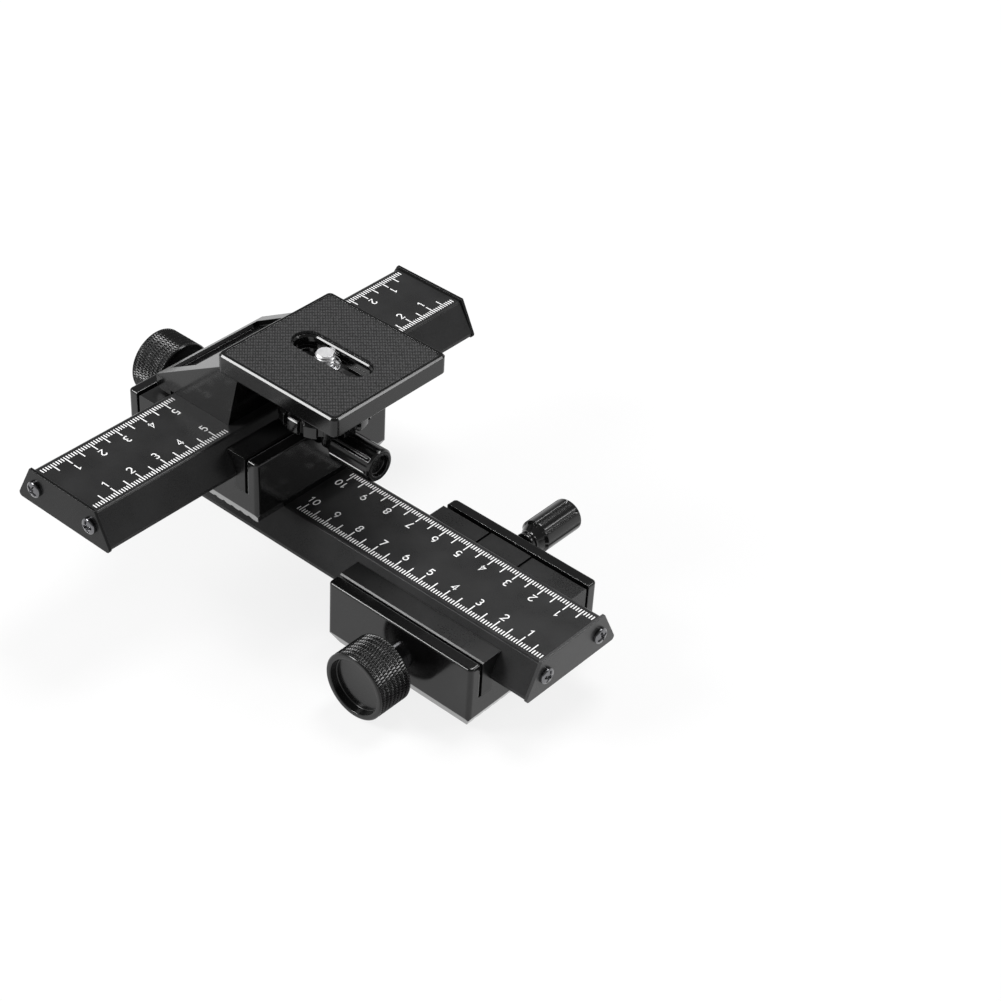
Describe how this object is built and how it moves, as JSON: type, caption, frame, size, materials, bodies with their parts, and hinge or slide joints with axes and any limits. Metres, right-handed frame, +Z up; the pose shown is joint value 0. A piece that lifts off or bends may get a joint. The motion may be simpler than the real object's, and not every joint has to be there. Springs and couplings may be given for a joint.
{
  "type": "macro focusing rail",
  "caption": "Macro focusing rail with crossed dovetail slides, rack-and-pinion focus knobs, clamp knobs, a tripod socket and a slotted camera platform.",
  "frame": {"origin": "centre of the tripod thread's mouth in the underside of the lower carriage", "axes": "+X along the lower rail towards the end over the lower carriage, +Y along the upper rail towards the lower lock knob, +Z up from the sole to the camera platform"},
  "size_m": [0.1826, 0.166, 0.0815],
  "materials": {
    "black_casting": "gloss",
    "black_anodised": "satin",
    "black_knob": "satin",
    "gib_plastic": "satin",
    "steel": "satin",
    "black_steel": "satin",
    "brass": "satin",
    "pad_rubber": "matte"
  },
  "bodies": {
    "base": {"lower_carriage": "black_casting", "lower_gib": "gib_plastic", "lower_gib_far": "gib_plastic", "lower_gib_near": "gib_plastic", "lower_shaft_bush": "black_steel", "tripod_bush": "brass"},
    "lower_slide": {"lower_rail": "black_anodised", "lower_rack": "steel", "lower_plate_near": "black_anodised", "lower_plate_far": "black_anodised", "lower_plate_screws": "black_steel", "stage_screws": "black_steel", "upper_carriage": "black_casting", "upper_gib": "gib_plastic", "upper_gib_far": "gib_plastic", "upper_gib_near": "gib_plastic", "upper_shaft_bush": "black_steel"},
    "lower_focus": {"lower_focus_knob": "black_knob", "lower_pinion_shaft": "steel"},
    "lower_lock": {"lower_lock_knob": "black_knob", "lower_lock_screw": "black_steel"},
    "lower_clamp": {"lower_clamp": "gib_plastic"},
    "upper_slide": {"upper_rail": "black_anodised", "upper_rack": "steel", "upper_plate_near": "black_anodised", "upper_plate_far": "black_anodised", "upper_plate_screws": "black_steel", "camera_bracket": "black_casting", "camera_pad": "pad_rubber", "bracket_screws": "black_steel"},
    "upper_focus": {"upper_focus_knob": "black_knob", "upper_pinion_shaft": "steel"},
    "upper_lock": {"upper_lock_knob": "black_knob", "upper_lock_screw": "black_steel"},
    "upper_clamp": {"upper_clamp": "gib_plastic"},
    "camera_washer": {"camera_washer": "steel"},
    "camera_lift": {"camera_clip": "steel"},
    "camera_screw": {"camera_screw": "steel", "camera_thumbwheel": "black_knob"}
  },
  "joints": [
    {"name": "lower_rail_slide", "type": "slide", "parent": "base", "child": "lower_slide", "axis": [1, 0, 0], "range_m": [-0.0133, 0.0887]},
    {"name": "lower_focus_turn", "type": "hinge", "parent": "base", "child": "lower_focus", "pos_m": [0, 0, 0.01242], "axis": [0, 1, 0], "range_deg": [-165, 1065]},
    {"name": "lower_lock_turn", "type": "hinge", "parent": "base", "child": "lower_lock", "pos_m": [-0.001, 0, 0.0212], "axis": [0, -1, 0], "range_deg": [0, 170]},
    {"name": "lower_clamp_press", "type": "slide", "parent": "base", "child": "lower_clamp", "axis": [0, -1, 0], "range_m": [0, 0.00029]},
    {"name": "upper_rail_slide", "type": "slide", "parent": "lower_slide", "child": "upper_slide", "axis": [0, 1, 0], "range_m": [-0.051, 0.051]},
    {"name": "upper_focus_turn", "type": "hinge", "parent": "lower_slide", "child": "upper_focus", "pos_m": [-0.08895, 0, 0.03992], "axis": [-1, 0, 0], "range_deg": [-615, 615]},
    {"name": "upper_lock_turn", "type": "hinge", "parent": "lower_slide", "child": "upper_lock", "pos_m": [-0.08895, 0.001, 0.0487], "axis": [-1, 0, 0], "range_deg": [0, 170]},
    {"name": "upper_clamp_press", "type": "slide", "parent": "lower_slide", "child": "upper_clamp", "axis": [-1, 0, 0], "range_m": [0, 0.00029]},
    {"name": "camera_screw_shift", "type": "slide", "parent": "upper_slide", "child": "camera_washer", "axis": [1, 0, 0], "range_m": [-0.001, 0.0131]},
    {"name": "camera_screw_lift", "type": "slide", "parent": "camera_washer", "child": "camera_lift", "axis": [0, 0, 1], "range_m": [0, 0.00415]},
    {"name": "camera_screw_turn", "type": "hinge", "parent": "camera_lift", "child": "camera_screw", "pos_m": [-0.0594, 0, 0.0785], "axis": [0, 0, 1], "continuous": true}
  ],
  "couplings": [
    {"joint": "lower_focus_turn", "follows": "lower_rail_slide", "rad_per_m": 208.33},
    {"joint": "lower_lock_turn", "follows": "lower_clamp_press", "rad_per_m": 8976},
    {"joint": "upper_focus_turn", "follows": "upper_rail_slide", "rad_per_m": 208.33},
    {"joint": "upper_lock_turn", "follows": "upper_clamp_press", "rad_per_m": 8976}
  ]
}
